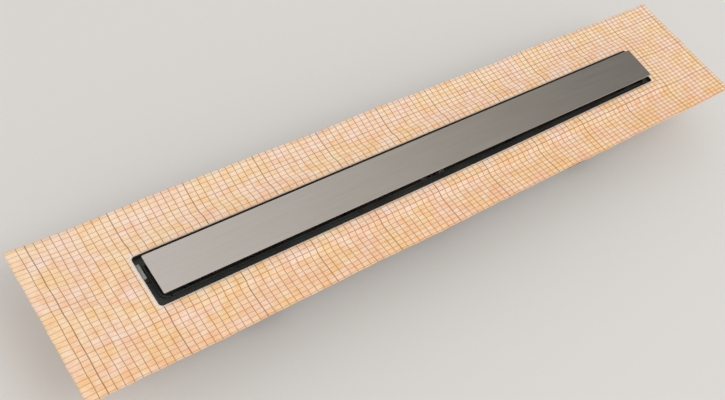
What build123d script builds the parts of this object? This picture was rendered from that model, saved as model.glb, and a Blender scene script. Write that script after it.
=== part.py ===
"""Linear shower drain: moulded channel, stainless cover, sealing collar, lift-out trap and four legs.

Millimetres. +X runs along the channel, +Y towards the outlet spigot, +Z up.
The origin lies on the floor, under the middle of the drain.
"""

import os

from build123d import *

# Cover plate, and the inlet slot that it leaves all round
cover_length = 871
cover_width = 55
cover_thickness = 2
cover_corner = 1.5
cover_edge_break = 0.3
cover_lift = 11.5
slot_width = 7.5

# Sealing collar, bonded over the rim and the flange
collar_thickness = 0.8
collar_end_margin = 124.5
collar_side_margin = 68
collar_setback = 1

# Channel mouth: a raised rim that slopes down to the bonding flange
opening_corner = 4
rim_width = 13
rim_slope = 9
rim_step = 4
flange_width = 18
flange_thickness = 3
flange_corner = 30
skirt_depth = 4
skirt_thickness = 2

# Shelf inside the rim, with a raised lip along its inner edge
shelf_depth = 6
shelf_width = 9.3
lip_width = 2.2
lip_height = 3
notch_width = 3
notch_inset = 10
peg_diameter = 4.2
peg_height = 2
peg_dimple_diameter = 2
peg_dimple_depth = 0.8
peg_inset = 4.2
peg_offset = 2.5

# Trough, falling from both ends to the outlet
wall = 2.8
trough_depth = 20
trough_fall = 6
trough_corner = 8
floor_fillet = 4
outlet_flat = 64

# Outlet in the middle of the floor, with a thick pad underneath
pad_thickness = 9
seat_margin = 0.3
seat_depth = 4
seat_ledge = 2.2

# Gussets from the trough's side to the flange, under the shelf and across the hollow of the rim
gusset_count = 8
gusset_pitch = 107
gusset_thickness = 2.5
gusset_height = 14

# Grey end buffers on the shelf
buffer_length = 21
buffer_width = 5
buffer_height = 4
buffer_offset = 15.5

# Levelling feet under the cover
support_rise = 3
support_diameter = 19
support_offset = 14
support_inner = 150
support_end_inset = 42
foot_base_diameter = 17
foot_base_thickness = 3
foot_barrel_diameter = 13
foot_flute_count = 8
foot_flute_diameter = 2.4
cover_stud_diameter = 6
cover_stud_weld_diameter = 8
cover_stud_weld_height = 0.8
cover_nut_width = 10
cover_nut_height = 5
cover_nut_gap = 2
thread_clearance = 0.05

# Trap housing and its spigot
ground_clearance = 8
housing_diameter = 78
housing_height = 60
housing_wall = 3
housing_flange = 5
housing_fillet = 5
housing_rib_thickness = 3
housing_rib_width = 10
housing_rib_height = 14
spigot_diameter = 50
spigot_wall = 3
spigot_reach = 100
spigot_rise = 1
spigot_chamfer = 1.5
spigot_insertion = 46
spigot_bead_width = 3
spigot_bead_height = 1.5
gasket_thickness = 2
screw_offset = 7
screw_edge = 6
screw_count = 4
screw_diameter = 3.8
screw_depth = 12
screw_head_diameter = 8
screw_head_height = 3
screw_clearance = 0.15
boss_diameter = 10
boss_top_wall = 3

# Lift-out trap: dip tube, ring seal, water cup and hair strainer
lift_clearance = 0.3
neck_clearance = 0.6
dip_flange_thickness = 3.6
dip_bore = 24.4
dip_wall = 1.8
dip_neck_wall = 2.5
dip_cone_height = 7
dip_end_gap = 10
mouth_depth = 3.2
mouth_wall = 1.6
seal_section = 2.4
seal_groove_height = 2.8
seal_clearance = 0.01
cup_wall = 2.2
cup_floor = 2
cup_ground_gap = 3
cup_ring_height = 6
cup_snap_clearance = 0.15
cup_strut_count = 3
cup_strut_width = 8
overflow_height = 9
strainer_thickness = 1.2
strainer_rim_height = 2.6
strainer_slot_count = 10
strainer_slot_width = 3
strainer_slot_start = 6.5
strainer_slot_end = 17
strainer_knob_diameter = 7
strainer_knob_height = 6
strainer_knob_round = 1.2

# Legs: studs in the channel's lugs, with bases and rubber soles
leg_spacing = 600
lug_reach = 23.5
lug_diameter = 22
lug_thickness = 6
lug_hole_diameter = 9
lug_cheek_thickness = 2
lug_cheek_reach = 12
leg_stud_diameter = 8
leg_stud_gap = 2
leg_stud_projection = 2
leg_nut_width = 13
leg_nut_height = 6.5
leg_washer_diameter = 16
leg_washer_thickness = 1.6
sole_thickness = 2
base_length = 66
base_width = 30
base_thickness = 4
base_edge_round = 1.2
base_screw_spacing = 46
base_screw_diameter = 5
socket_diameter = 17
socket_height = 10

# Levels, from the floor up through the trap and the channel to the cover
housing_z = ground_clearance
housing_top_z = housing_z + housing_height
pad_z = housing_top_z + gasket_thickness
floor_z = pad_z + pad_thickness
floor_end_z = floor_z + trough_fall
rim_z = floor_end_z + trough_depth
shelf_z = rim_z - shelf_depth
flange_z = rim_z - rim_step
flange_under_z = flange_z - flange_thickness
shelf_under_z = shelf_z - wall
cover_z = rim_z + collar_thickness + cover_lift - cover_thickness
support_z = floor_end_z + support_rise
seat_z = floor_z - seat_depth

# Plan sizes, from the cover outwards and inwards
opening_length = cover_length + 2 * slot_width
opening_width = cover_width + 2 * slot_width
rim_length = opening_length + 2 * rim_width
rim_breadth = opening_width + 2 * rim_width
slope_length = rim_length + 2 * rim_slope
slope_breadth = rim_breadth + 2 * rim_slope
slope_corner = opening_corner + rim_width + rim_slope
flange_length = slope_length + 2 * flange_width
flange_breadth = slope_breadth + 2 * flange_width
cutout_length = opening_length + 2 * collar_setback
cutout_width = opening_width + 2 * collar_setback
collar_length = opening_length + 2 * collar_end_margin
collar_breadth = opening_width + 2 * collar_side_margin
trough_length = opening_length - 2 * shelf_width
trough_width = opening_width - 2 * shelf_width
trough_side = trough_width / 2 + wall
mouth_side = opening_width / 2 + wall
peg_x = opening_length / 2 - peg_inset
peg_places = [(-peg_x, peg_offset), (peg_x, peg_offset)]

# Radii and heights of the lift-out trap, which passes up through the outlet
seat_radius = trough_width / 2 - seat_margin
outlet_radius = seat_radius - seat_ledge
neck_radius = outlet_radius - neck_clearance
cup_radius = neck_radius - cup_snap_clearance
cup_inner_radius = cup_radius - cup_wall
spindle_radius = cup_inner_radius - cup_snap_clearance
throat_radius = spindle_radius - dip_neck_wall
mouth_radius = neck_radius - mouth_wall
dip_radius = dip_bore / 2 + dip_wall
groove_radius = outlet_radius - seal_section - 2 * seal_clearance
groove_z = (seat_z + pad_z) / 2
dip_top_z = seat_z + dip_flange_thickness
mouth_z = dip_top_z - mouth_depth
ring_z = pad_z - cup_ring_height
cup_rim_z = ring_z - overflow_height
cup_z = housing_z + housing_wall + cup_ground_gap
dip_end_z = cup_z + cup_floor + dip_end_gap

# Screws between the housing and the pad, on a circle outside the housing's wall
screw_circle = housing_diameter + 2 * screw_offset
pad_diameter = screw_circle + 2 * screw_edge
screw_head_z = housing_top_z - housing_flange
screw_end_z = pad_z + screw_depth
boss_top_z = screw_end_z + boss_top_wall

# Legs, from the flange down to the soles
leg_stud_top_z = flange_under_z - leg_stud_gap
upper_nut_z = leg_stud_top_z - leg_stud_projection - leg_nut_height
lug_top_z = upper_nut_z - leg_washer_thickness
lug_z = lug_top_z - lug_thickness
lower_washer_z = lug_z - leg_washer_thickness
lower_nut_z = lower_washer_z - leg_nut_height
base_top_z = sole_thickness + base_thickness
leg_offset = trough_side + lug_reach
leg_places = [(side_x * leg_spacing / 2, side_y * leg_offset) for side_y in (-1, 1) for side_x in (-1, 1)]

# Levelling feet, in two pairs each side of the outlet
support_outer = cover_length / 2 - support_end_inset
support_places = [
    (side * along, across * support_offset)
    for along in (support_inner, support_outer)
    for side in (-1, 1)
    for across in (-1, 1)
]
foot_barrel_z = support_z + foot_base_thickness
cover_nut_z = cover_z - cover_nut_gap - cover_nut_height


def floor_level(x):
    """Height of the trough's floor at a place along the channel."""
    run = max(abs(x) - outlet_flat / 2, 0)
    return floor_z + trough_fall * run / (trough_length / 2 - outlet_flat / 2)


def trough_form(grow):
    """The space inside the trough, grown by a wall at its sides and underneath."""
    half_length = trough_length / 2 + grow
    half_flat = outlet_flat / 2
    with BuildPart() as form:
        with BuildSketch(Plane.XY.offset(floor_z - grow)):
            RectangleRounded(2 * half_length, trough_width + 2 * grow, trough_corner + grow)
        extrude(amount=shelf_z - floor_z + grow)
        with BuildSketch(Plane.XZ):
            with BuildLine():
                Polyline(
                    (-half_length, shelf_z),
                    (-half_length, floor_end_z - grow),
                    (-half_flat, floor_z - grow),
                    (half_flat, floor_z - grow),
                    (half_length, floor_end_z - grow),
                    (half_length, shelf_z),
                    close=True,
                )
            make_face()
        extrude(amount=trough_width, both=True, mode=Mode.INTERSECT)
        floors = form.faces().filter_by(lambda face: face.normal_at().Z < -0.9)
        rims = floors.edges().filter_by(lambda edge: abs(abs(edge.center().X) - half_flat) > floor_fillet)
        fillet(rims, floor_fillet + grow)
    return form.part


# Channel body: flange, rim, shelf, trough, outlet pad, lugs and gussets in one moulding
gusset_planes = [
    Plane((gusset_pitch * (number - (gusset_count - 1) / 2), 0, 0), x_dir=(0, 1, 0), z_dir=(1, 0, 0))
    for number in range(gusset_count)
]
with BuildPart() as channel_body:
    with BuildSketch(Plane.XY.offset(flange_under_z)):
        RectangleRounded(flange_length, flange_breadth, flange_corner)
    extrude(amount=flange_thickness)
    with BuildSketch(Plane.XY.offset(flange_under_z - skirt_depth)):
        RectangleRounded(flange_length, flange_breadth, flange_corner)
        offset(amount=-skirt_thickness, mode=Mode.SUBTRACT)
    extrude(amount=skirt_depth)
    with BuildSketch(Plane.XY.offset(flange_z)):
        RectangleRounded(slope_length, slope_breadth, slope_corner)
    with BuildSketch(Plane.XY.offset(rim_z)):
        RectangleRounded(rim_length, rim_breadth, opening_corner + rim_width)
    loft(ruled=True)
    with BuildSketch(Plane.XY.offset(flange_under_z)):
        RectangleRounded(slope_length, slope_breadth, slope_corner)
    with BuildSketch(Plane.XY.offset(rim_z - flange_thickness)):
        RectangleRounded(rim_length, rim_breadth, opening_corner + rim_width)
    loft(ruled=True, mode=Mode.SUBTRACT)
    with BuildSketch(Plane.XY.offset(shelf_under_z)):
        RectangleRounded(opening_length + 2 * wall, 2 * mouth_side, opening_corner + wall)
    extrude(amount=shelf_depth + wall - flange_thickness / 2)
    add(trough_form(wall))
    with BuildSketch(Plane.XY.offset(pad_z)):
        Circle(pad_diameter / 2)
    extrude(amount=pad_thickness)
    with BuildSketch(Plane.XY.offset(pad_z)):
        with PolarLocations(screw_circle / 2, screw_count, start_angle=180 / screw_count):
            Circle(boss_diameter / 2)
    extrude(amount=boss_top_z - pad_z)
    with BuildSketch(Plane.XY.offset(lug_z)):
        with Locations(*leg_places):
            Circle(lug_diameter / 2)
        with GridLocations(leg_spacing, 2 * leg_offset - lug_reach - wall, 2, 2):
            Rectangle(lug_diameter, lug_reach + wall)
    extrude(amount=lug_thickness)
    with BuildSketch(Plane.XY.offset(lug_z)):
        with GridLocations(leg_spacing, 2 * trough_side - wall + lug_cheek_reach, 2, 2):
            with GridLocations(lug_diameter - lug_cheek_thickness, 0, 2, 1):
                Rectangle(lug_cheek_thickness, lug_cheek_reach + wall)
    extrude(amount=shelf_z - lug_z)
    with BuildSketch(*gusset_planes):
        with BuildLine():
            Polyline(
                (trough_side - wall / 2, shelf_under_z - gusset_height),
                (trough_side, shelf_under_z - gusset_height),
                (slope_breadth / 2, flange_under_z),
                (slope_breadth / 2, flange_z - flange_thickness / 2),
                (rim_breadth / 2, rim_z - flange_thickness / 2),
                (trough_side - wall / 2, rim_z - flange_thickness / 2),
                close=True,
            )
        make_face()
        mirror(about=Plane.YZ)
    extrude(amount=gusset_thickness / 2, both=True)

    # Hollows: the mouth down to the shelf, the trough, the outlet with its seat, and the holes
    with BuildSketch(Plane.XY.offset(shelf_z)):
        RectangleRounded(opening_length, opening_width, opening_corner)
    extrude(amount=shelf_depth, mode=Mode.SUBTRACT)
    add(trough_form(0), mode=Mode.SUBTRACT)
    with BuildSketch(Plane.XY.offset(seat_z)):
        Circle(seat_radius)
    extrude(amount=seat_depth + floor_fillet, mode=Mode.SUBTRACT)
    with BuildSketch(Plane.XY.offset(pad_z)):
        Circle(outlet_radius)
    extrude(amount=pad_thickness, mode=Mode.SUBTRACT)
    with BuildSketch(Plane.XY.offset(pad_z)):
        with PolarLocations(screw_circle / 2, screw_count, start_angle=180 / screw_count):
            Circle(screw_diameter / 2 + screw_clearance)
    extrude(amount=screw_depth + screw_clearance, mode=Mode.SUBTRACT)
    with BuildSketch(Plane.XY.offset(lug_z)):
        with Locations(*leg_places):
            Circle(lug_hole_diameter / 2)
    extrude(amount=lug_thickness, mode=Mode.SUBTRACT)

    # Lip round the trough, notched near its corners to let the shelf drain
    with BuildSketch(Plane.XY.offset(shelf_z)):
        RectangleRounded(trough_length + 2 * lip_width, trough_width + 2 * lip_width, trough_corner + lip_width)
        RectangleRounded(trough_length, trough_width, trough_corner, mode=Mode.SUBTRACT)
        with GridLocations(trough_length - 2 * notch_inset, trough_width + lip_width, 2, 2):
            Rectangle(notch_width, 2 * lip_width, mode=Mode.SUBTRACT)
    extrude(amount=lip_height)

    # Pegs on the shelf, one beside each end buffer, dimpled on top
    with BuildSketch(Plane.XY.offset(shelf_z)):
        with Locations(*peg_places):
            Circle(peg_diameter / 2)
    extrude(amount=peg_height)
    with BuildSketch(Plane.XY.offset(shelf_z + peg_height)):
        with Locations(*peg_places):
            Circle(peg_dimple_diameter / 2)
    extrude(amount=-peg_dimple_depth, mode=Mode.SUBTRACT)

    # Level pads for the cover's feet, standing on the sloping floor
    for x, y in support_places:
        with BuildSketch(Plane((x, y, floor_level(x) - wall / 2))):
            Circle(support_diameter / 2)
        extrude(amount=support_z - floor_level(x) + wall / 2)
channel_body.part.label = "channel_body"

# Sealing collar: one sheet over the flange, up the slope and over the rim, cut out for the opening
with BuildPart() as sealing_collar:
    with BuildSketch(Plane.XY.offset(flange_z)):
        Rectangle(collar_length, collar_breadth)
    extrude(amount=collar_thickness)
    with BuildSketch(Plane.XY.offset(flange_z + collar_thickness)):
        RectangleRounded(slope_length, slope_breadth, slope_corner)
    with BuildSketch(Plane.XY.offset(rim_z + collar_thickness)):
        RectangleRounded(rim_length, rim_breadth, opening_corner + rim_width)
    loft(ruled=True)
    with BuildSketch(Plane.XY.offset(flange_z)):
        RectangleRounded(slope_length, slope_breadth, slope_corner)
    with BuildSketch(Plane.XY.offset(rim_z)):
        RectangleRounded(rim_length, rim_breadth, opening_corner + rim_width)
    loft(ruled=True, mode=Mode.SUBTRACT)
    with BuildSketch(Plane.XY.offset(flange_z)):
        RectangleRounded(cutout_length, cutout_width, opening_corner + collar_setback)
    extrude(amount=rim_step + collar_thickness, mode=Mode.SUBTRACT)
sealing_collar.part.label = "sealing_collar"

# Cover plate: flat sheet with small corners and broken edges
with BuildPart() as cover_plate:
    with BuildSketch(Plane.XY.offset(cover_z)):
        RectangleRounded(cover_length, cover_width, cover_corner)
    extrude(amount=cover_thickness)
    chamfer(cover_plate.faces().sort_by(Axis.Z)[-1].edges(), cover_edge_break)
cover_plate.part.label = "cover_plate"

# Studs welded under the cover, with the flat of the weld at their root
with BuildPart() as cover_weld_studs:
    with BuildSketch(Plane.XY.offset(cover_z - cover_stud_weld_height)):
        with Locations(*support_places):
            Circle(cover_stud_weld_diameter / 2)
    extrude(amount=cover_stud_weld_height)
    with BuildSketch(Plane.XY.offset(foot_barrel_z)):
        with Locations(*support_places):
            Circle(cover_stud_diameter / 2)
    extrude(amount=cover_z - foot_barrel_z)
cover_weld_studs.part.label = "cover_weld_studs"

# Lock nuts on the cover's studs, tightened down on the feet
with BuildPart() as cover_lock_nuts:
    with BuildSketch(Plane.XY.offset(cover_nut_z)):
        with Locations(*support_places):
            RegularPolygon(cover_nut_width / 2, 6, major_radius=False)
            Circle(cover_stud_diameter / 2 + thread_clearance, mode=Mode.SUBTRACT)
    extrude(amount=cover_nut_height)
cover_lock_nuts.part.label = "cover_lock_nuts"


def levelling_foot(x, y):
    """Threaded foot under the cover: a round base and a fluted barrel, standing on its pad."""
    with BuildPart() as foot:
        with BuildSketch(Plane((x, y, support_z))):
            Circle(foot_base_diameter / 2)
        extrude(amount=foot_base_thickness)
        with BuildSketch(Plane((x, y, foot_barrel_z))):
            Circle(foot_barrel_diameter / 2)
            with PolarLocations(foot_barrel_diameter / 2, foot_flute_count):
                Circle(foot_flute_diameter / 2, mode=Mode.SUBTRACT)
            Circle(cover_stud_diameter / 2 + thread_clearance, mode=Mode.SUBTRACT)
        extrude(amount=cover_nut_z - foot_barrel_z)
    return foot.part


# End buffers: grey blocks on the shelf against the end walls, the right one mirroring the left
buffer_x = (opening_length - buffer_width) / 2
with BuildPart() as end_buffer_left:
    with BuildSketch(Plane((-buffer_x, buffer_offset, shelf_z))):
        Rectangle(buffer_width, buffer_length)
    extrude(amount=buffer_height)
end_buffer_left.part.label = "end_buffer_left"

with BuildPart() as end_buffer_right:
    with BuildSketch(Plane((buffer_x, buffer_offset, shelf_z))):
        Rectangle(buffer_width, buffer_length)
    extrude(amount=buffer_height)
end_buffer_right.part.label = "end_buffer_right"

# Dip tube: flange on the outlet's seat, sealed neck, spindle for the cup, cone and tube
with BuildPart() as dip_tube:
    with BuildSketch(Plane.XZ):
        with BuildLine():
            Polyline(
                (mouth_radius, dip_top_z),
                (seat_radius - lift_clearance, dip_top_z),
                (seat_radius - lift_clearance, seat_z),
                (neck_radius, seat_z),
                (neck_radius, groove_z + seal_groove_height / 2),
                (groove_radius, groove_z + seal_groove_height / 2),
                (groove_radius, groove_z - seal_groove_height / 2),
                (neck_radius, groove_z - seal_groove_height / 2),
                (neck_radius, pad_z),
                (spindle_radius, pad_z),
                (spindle_radius, ring_z),
                (dip_radius, ring_z - dip_cone_height),
                (dip_radius, dip_end_z),
                (dip_bore / 2, dip_end_z),
                (dip_bore / 2, ring_z - dip_cone_height),
                (throat_radius, ring_z),
                (throat_radius, mouth_z),
                (mouth_radius, mouth_z),
                close=True,
            )
        make_face()
    revolve(axis=Axis.Z)
dip_tube.part.label = "dip_tube"

# Ring seal in the dip tube's groove
seal_radius = seal_section / 2
with BuildPart() as dip_tube_seal:
    with BuildSketch(Plane.XZ):
        with Locations((outlet_radius - seal_radius - seal_clearance, groove_z)):
            Circle(seal_radius)
    revolve(axis=Axis.Z)
dip_tube_seal.part.label = "dip_tube_seal"

# Water cup, hung from the dip tube by a ring and struts, with the overflow between them
with BuildPart() as trap_cup:
    with BuildSketch(Plane.XY.offset(cup_z)):
        Circle(cup_radius)
    extrude(amount=pad_z - cup_z)
    with BuildSketch(Plane.XY.offset(cup_z + cup_floor)):
        Circle(cup_inner_radius)
    extrude(amount=pad_z - cup_z - cup_floor, mode=Mode.SUBTRACT)
    with BuildSketch(Plane.XY.offset(cup_rim_z)):
        Circle(cup_radius + cup_wall)
        with PolarLocations(cup_radius, cup_strut_count):
            Rectangle(2 * cup_radius, cup_strut_width, mode=Mode.SUBTRACT)
    extrude(amount=overflow_height, mode=Mode.SUBTRACT)
trap_cup.part.label = "trap_cup"

# Hair strainer: pressed disc with radial slots, a low rim and a lifting knob
with BuildPart() as hair_strainer:
    with BuildSketch(Plane.XY.offset(mouth_z)):
        Circle(mouth_radius - lift_clearance)
    extrude(amount=strainer_rim_height)
    with BuildSketch(Plane.XY.offset(mouth_z + strainer_thickness)):
        Circle(mouth_radius - lift_clearance - strainer_thickness)
    extrude(amount=strainer_rim_height - strainer_thickness, mode=Mode.SUBTRACT)
    with BuildSketch(Plane.XY.offset(mouth_z)):
        with PolarLocations((strainer_slot_start + strainer_slot_end) / 2, strainer_slot_count):
            SlotOverall(strainer_slot_end - strainer_slot_start, strainer_slot_width)
    extrude(amount=strainer_thickness, mode=Mode.SUBTRACT)
    with BuildSketch(Plane.XY.offset(mouth_z)):
        Circle(strainer_knob_diameter / 2)
    extrude(amount=strainer_thickness + strainer_knob_height)
    fillet(hair_strainer.edges().sort_by(Axis.Z)[-1], strainer_knob_round)
hair_strainer.part.label = "hair_strainer"

# Trap housing: pot with a flange, ribs and a horizontal spigot that starts at its floor
spigot_z = housing_z + spigot_rise + spigot_diameter / 2
spigot_plane = Plane((0, 0, spigot_z), x_dir=(1, 0, 0), z_dir=(0, 1, 0))
bead_start = spigot_reach - spigot_insertion - spigot_bead_width
with BuildPart() as trap_housing:
    with BuildSketch(Plane.XY.offset(housing_z)):
        Circle(housing_diameter / 2)
    extrude(amount=housing_height)
    fillet(trap_housing.edges().sort_by(Axis.Z)[0], housing_fillet)
    with BuildSketch(Plane.XY.offset(screw_head_z)):
        Circle(pad_diameter / 2)
    extrude(amount=housing_flange)
    with BuildSketch(Plane.XZ, Plane.YZ):
        with BuildLine():
            Polyline(
                (-housing_diameter / 2 + housing_wall, screw_head_z),
                (-housing_diameter / 2 - housing_rib_width, screw_head_z),
                (-housing_diameter / 2, screw_head_z - housing_rib_height),
                (-housing_diameter / 2 + housing_wall, screw_head_z - housing_rib_height),
                close=True,
            )
        make_face()
    extrude(amount=housing_rib_thickness / 2, both=True)
    with BuildSketch(spigot_plane):
        Circle(spigot_diameter / 2)
    extrude(amount=spigot_reach)
    chamfer(trap_housing.edges().sort_by(Axis.Y)[-1], spigot_chamfer)
    with BuildSketch(spigot_plane.offset(bead_start)):
        Circle(spigot_diameter / 2 + spigot_bead_height)
    extrude(amount=spigot_bead_width)
    with BuildSketch(Plane.XY.offset(housing_z + housing_wall)):
        Circle(housing_diameter / 2 - housing_wall)
    extrude(amount=housing_height - housing_wall, mode=Mode.SUBTRACT)
    with BuildSketch(spigot_plane):
        Circle(spigot_diameter / 2 - spigot_wall)
    extrude(amount=spigot_reach, mode=Mode.SUBTRACT)
    with BuildSketch(Plane.XY.offset(screw_head_z)):
        with PolarLocations(screw_circle / 2, screw_count, start_angle=180 / screw_count):
            Circle(screw_diameter / 2 + screw_clearance)
    extrude(amount=housing_flange, mode=Mode.SUBTRACT)
trap_housing.part.label = "trap_housing"

# Flat gasket between the housing and the pad
with BuildPart() as trap_gasket:
    with BuildSketch(Plane.XY.offset(housing_top_z)):
        Circle(pad_diameter / 2)
        Circle(housing_diameter / 2 - housing_wall, mode=Mode.SUBTRACT)
        with PolarLocations(screw_circle / 2, screw_count, start_angle=180 / screw_count):
            Circle(screw_diameter / 2 + screw_clearance, mode=Mode.SUBTRACT)
    extrude(amount=gasket_thickness)
trap_gasket.part.label = "trap_gasket"

# Screws, driven up through the housing's flange into the pad's bosses
with BuildPart() as trap_screws:
    with BuildSketch(Plane.XY.offset(screw_head_z - screw_head_height)):
        with PolarLocations(screw_circle / 2, screw_count, start_angle=180 / screw_count):
            Circle(screw_head_diameter / 2)
    extrude(amount=screw_head_height)
    with BuildSketch(Plane.XY.offset(screw_head_z)):
        with PolarLocations(screw_circle / 2, screw_count, start_angle=180 / screw_count):
            Circle(screw_diameter / 2)
    extrude(amount=screw_end_z - screw_head_z)
trap_screws.part.label = "trap_screws"


def leg_stud(x, y):
    """Threaded stud from the base's socket up through the lug."""
    with BuildPart() as stud:
        with BuildSketch(Plane((x, y, base_top_z))):
            Circle(leg_stud_diameter / 2)
        extrude(amount=leg_stud_top_z - base_top_z)
    return stud.part


def leg_base(x, y):
    """Screw-down base with a socket for the stud and a hole at each end."""
    with BuildPart() as base:
        with BuildSketch(Plane((x, y, sole_thickness))):
            SlotOverall(base_length, base_width)
        extrude(amount=base_thickness)
        fillet(base.faces().sort_by(Axis.Z)[-1].edges(), base_edge_round)
        with BuildSketch(Plane((x, y, base_top_z))):
            Circle(socket_diameter / 2)
        extrude(amount=socket_height)
        fillet(base.faces().sort_by(Axis.Z)[-1].edges(), base_edge_round)
        with BuildSketch(Plane((x, y, base_top_z))):
            Circle(leg_stud_diameter / 2 + thread_clearance)
        extrude(amount=socket_height, mode=Mode.SUBTRACT)
        with BuildSketch(Plane((x, y, sole_thickness))):
            with GridLocations(base_screw_spacing, 0, 2, 1):
                Circle(base_screw_diameter / 2)
        extrude(amount=base_thickness, mode=Mode.SUBTRACT)
    return base.part


def leg_sole(x, y):
    """Rubber sole under the base, with the same outline and holes."""
    with BuildPart() as sole:
        with BuildSketch(Plane((x, y, 0))):
            SlotOverall(base_length, base_width)
            with GridLocations(base_screw_spacing, 0, 2, 1):
                Circle(base_screw_diameter / 2, mode=Mode.SUBTRACT)
        extrude(amount=sole_thickness)
    return sole.part


# Nuts that clamp the lugs from above and below
with BuildPart() as leg_nuts:
    with BuildSketch(Plane.XY.offset(upper_nut_z), Plane.XY.offset(lower_nut_z)):
        with Locations(*leg_places):
            RegularPolygon(leg_nut_width / 2, 6, major_radius=False)
            Circle(leg_stud_diameter / 2 + thread_clearance, mode=Mode.SUBTRACT)
    extrude(amount=leg_nut_height)
leg_nuts.part.label = "leg_nuts"

# Washers between the nuts and the lugs
with BuildPart() as leg_washers:
    with BuildSketch(Plane.XY.offset(lug_top_z), Plane.XY.offset(lower_washer_z)):
        with Locations(*leg_places):
            Circle(leg_washer_diameter / 2)
            Circle(leg_stud_diameter / 2 + thread_clearance, mode=Mode.SUBTRACT)
    extrude(amount=leg_washer_thickness)
leg_washers.part.label = "leg_washers"

# Files, one for each piece
os.makedirs("parts", exist_ok=True)
export_step(cover_plate.part, "parts/cover_plate.step")
export_step(cover_weld_studs.part, "parts/cover_weld_studs.step")
export_step(cover_lock_nuts.part, "parts/cover_lock_nuts.step")
export_step(sealing_collar.part, "parts/sealing_collar.step")
export_step(channel_body.part, "parts/channel_body.step")
export_step(end_buffer_left.part, "parts/end_buffer_left.step")
export_step(end_buffer_right.part, "parts/end_buffer_right.step")
export_step(hair_strainer.part, "parts/hair_strainer.step")
export_step(dip_tube.part, "parts/dip_tube.step")
export_step(dip_tube_seal.part, "parts/dip_tube_seal.step")
export_step(trap_cup.part, "parts/trap_cup.step")
export_step(trap_gasket.part, "parts/trap_gasket.step")
export_step(trap_housing.part, "parts/trap_housing.step")
export_step(trap_screws.part, "parts/trap_screws.step")
export_step(leg_nuts.part, "parts/leg_nuts.step")
export_step(leg_washers.part, "parts/leg_washers.step")

for number, (x, y) in enumerate(support_places, start=1):
    foot = levelling_foot(x, y)
    foot.label = f"cover_foot_{number}"
    export_step(foot, f"parts/cover_foot_{number}.step")

for number, (x, y) in enumerate(leg_places, start=1):
    for name, make in (("leg_stud", leg_stud), ("leg_base", leg_base), ("leg_sole", leg_sole)):
        piece = make(x, y)
        piece.label = f"{name}_{number}"
        export_step(piece, f"parts/{name}_{number}.step")
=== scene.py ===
import math

import bmesh
import bpy
from mathutils import Matrix, Vector


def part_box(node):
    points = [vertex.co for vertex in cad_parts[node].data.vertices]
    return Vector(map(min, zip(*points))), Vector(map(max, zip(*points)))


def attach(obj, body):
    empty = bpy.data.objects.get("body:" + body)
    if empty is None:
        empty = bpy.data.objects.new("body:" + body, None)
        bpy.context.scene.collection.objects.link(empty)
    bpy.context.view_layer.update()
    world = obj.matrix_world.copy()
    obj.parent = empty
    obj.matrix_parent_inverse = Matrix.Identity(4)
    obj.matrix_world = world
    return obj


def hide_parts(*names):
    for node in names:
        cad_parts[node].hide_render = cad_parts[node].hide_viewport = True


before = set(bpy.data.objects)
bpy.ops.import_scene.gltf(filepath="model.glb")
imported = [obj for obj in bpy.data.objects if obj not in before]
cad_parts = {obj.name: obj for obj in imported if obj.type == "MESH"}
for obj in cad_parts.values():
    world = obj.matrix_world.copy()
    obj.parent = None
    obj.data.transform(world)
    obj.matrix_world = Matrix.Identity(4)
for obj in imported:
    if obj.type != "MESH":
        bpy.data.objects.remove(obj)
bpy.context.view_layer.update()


# Channel body: the long trough with its rim, shelf, lugs and gussets, one injection moulding in black ABS.
# It carries every other piece. The tool leaves small rounded edges and a finely spark-eroded skin.
channel_edge = 0.0005
channel_dark = "#262826"
channel_light = "#363834"
cloud_size = 40
gloss_swing = 0.06
noise_low = 0.3
noise_high = 0.7
weld_gap = 1e-6
flat_angle = math.radians(0.4)
sharp_angle = math.radians(28)


def linear(code):
    """An sRGB hex colour as linear red, green, blue and alpha."""
    shares = [int(code[start:start + 2], 16) / 255 for start in (1, 3, 5)]
    return [s / 12.92 if s <= 0.04045 else ((s + 0.055) / 1.055) ** 2.4 for s in shares] + [1.0]


def per_metre(size):
    """The scale of a pattern whose features are size millimetres across."""
    return 1000 / size


def add(tree, kind, inputs=None, ramp=(), **settings):
    """Adds a node. Inputs are values or sockets to link, ramp the stops of a colour ramp."""
    made = tree.nodes.new("ShaderNode" + kind)
    for name, value in settings.items():
        setattr(made, name, value)
    for name, value in (inputs or {}).items():
        if isinstance(value, bpy.types.NodeSocket):
            tree.links.new(value, made.inputs[name])
        else:
            made.inputs[name].default_value = value
    for index, (place, colour) in enumerate(ramp):
        stops = made.color_ramp.elements
        stop = stops[index] if index < 2 else stops.new(place)
        stop.position = place
        stop.color = linear(colour)
    return made


def new_finish(name):
    """An empty material with its node tree, its shader and its Object coordinates."""
    finish = bpy.data.materials.new(name)
    finish.use_nodes = True
    tree = finish.node_tree
    return finish, tree, tree.nodes["Principled BSDF"], add(tree, "TexCoord").outputs["Object"]


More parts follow.
